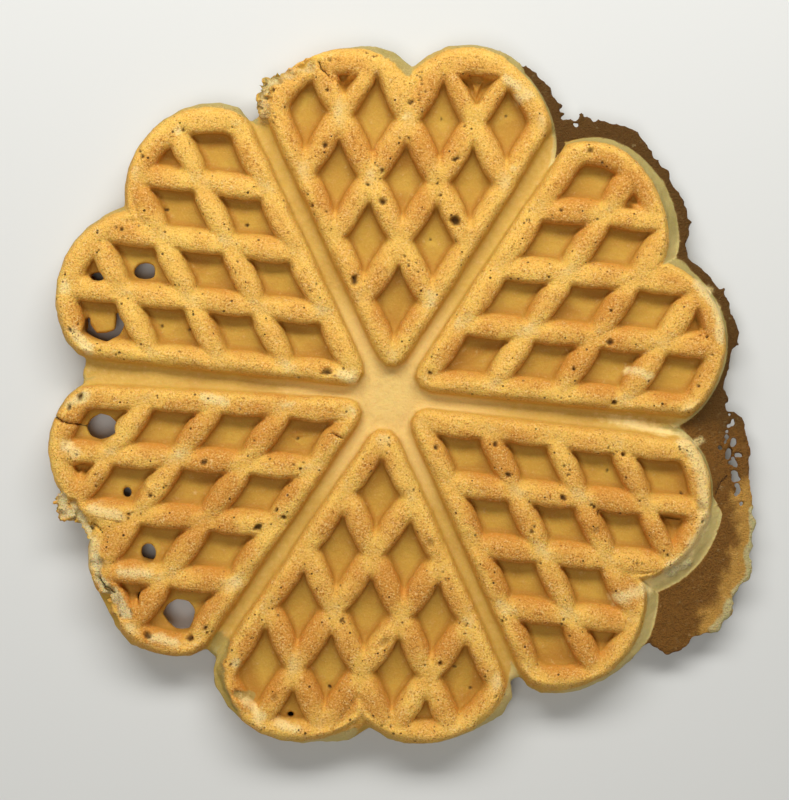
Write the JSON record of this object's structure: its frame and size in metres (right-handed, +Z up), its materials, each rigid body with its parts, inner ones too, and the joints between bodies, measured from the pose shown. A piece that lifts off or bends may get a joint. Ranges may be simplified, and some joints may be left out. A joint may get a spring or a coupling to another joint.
{
  "type": "heart waffle",
  "caption": "Thin round waffle of joined hearts with a diamond grid of raised ribs on both faces, deep cells, a few holes and a thin brown overflow of batter at one side.",
  "frame": {"origin": "on the surface it lies on, under the middle of the waffle's bounding box", "axes": "+Z up through the waffle's thickness, +Y along the heart at the top of the picture, +X to the side where the batter ran out"},
  "size_m": [0.1985, 0.1974, 0.0122],
  "materials": {
    "crust": "baked golden crust, matte and finely pored"
  },
  "bodies": {
    "root": {"waffle": "crust"}
  },
  "joints": []
}
